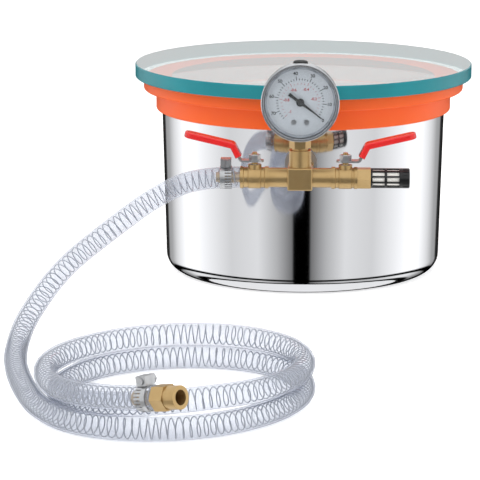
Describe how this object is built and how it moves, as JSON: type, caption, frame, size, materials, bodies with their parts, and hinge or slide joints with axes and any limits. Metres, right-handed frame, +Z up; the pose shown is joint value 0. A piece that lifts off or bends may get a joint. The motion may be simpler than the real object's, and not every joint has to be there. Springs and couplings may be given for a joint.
{
  "type": "vacuum chamber",
  "caption": "Round polished steel degassing chamber with a glass lid, silicone seal, brass manifold with a vacuum gauge and ball valves, and a coiled clear pump hose.",
  "frame": {"origin": "middle of the pot's flat underside, on the surface it stands on", "axes": "+Z up through the lid, -Y towards the front with the gauge, +X to the right as seen from the front"},
  "size_m": [0.377, 0.7597, 0.2139],
  "materials": {
    "polished_steel": "mirror polished",
    "silicone": "satin",
    "tempered_glass": "clear with a green-blue edge",
    "brass": "turned",
    "steel": "satin",
    "plated_steel": "plated",
    "black_rubber": "satin",
    "white_plastic": "matt",
    "black_plastic": "satin",
    "grey_dial": "matt",
    "dark_paint": "matt",
    "clear_lens": "clear",
    "red_vinyl": "gloss",
    "clear_hose": "clear with a steel spiral"
  },
  "bodies": {
    "chamber": {"pot": "polished_steel", "gasket_ring": "silicone", "lid_glass": "tempered_glass", "outer_seal": "black_rubber", "inner_seal": "black_rubber", "outer_washer": "steel", "inner_washer": "steel", "inner_locknut": "brass", "bulkhead_body": "brass", "nipple": "brass", "manifold_body": "brass", "gauge_case": "plated_steel", "gauge_bezel": "plated_steel", "gauge_lens": "clear_lens", "gauge_lens_seal": "black_rubber", "gauge_inner_ring": "plated_steel", "gauge_dial": "grey_dial", "gauge_dial_screws": "steel", "gauge_movement": "brass", "gauge_plug": "black_rubber", "gauge_socket": "brass", "gauge_tube": "brass", "muffler_cage": "black_plastic", "muffler_element": "white_plastic", "muffler_cap": "black_plastic", "hose": "clear_hose", "pump_fitting": "brass", "valve_clamp_band": "steel", "valve_clamp_housing": "steel", "valve_clamp_screw": "steel", "end_clamp_band": "steel", "end_clamp_housing": "steel", "end_clamp_screw": "steel", "left_valve_body": "brass", "left_seats": "white_plastic", "left_packing": "white_plastic", "right_valve_body": "brass", "right_seats": "white_plastic", "right_packing": "white_plastic"},
    "left_handle": {"left_stem": "brass", "left_ball": "plated_steel", "left_lever": "steel", "left_grip": "red_vinyl", "left_lever_nut": "steel"},
    "right_handle": {"right_stem": "brass", "right_ball": "plated_steel", "right_lever": "steel", "right_grip": "red_vinyl", "right_lever_nut": "steel"},
    "pointer": {"gauge_pointer": "dark_paint", "gauge_arbor": "steel"}
  },
  "joints": [
    {"name": "left_handle_turn", "type": "hinge", "parent": "chamber", "child": "left_handle", "pos_m": [-0.0373, -0.195, 0.117], "axis": [0, 0, 1], "range_deg": [0, 90]},
    {"name": "right_handle_turn", "type": "hinge", "parent": "chamber", "child": "right_handle", "pos_m": [0.0373, -0.195, 0.117], "axis": [0, 0, -1], "range_deg": [0, 90]},
    {"name": "pointer_turn", "type": "hinge", "parent": "chamber", "child": "pointer", "pos_m": [0, -0.2, 0.1809], "axis": [0, -1, 0], "range_deg": [0, 262]}
  ]
}
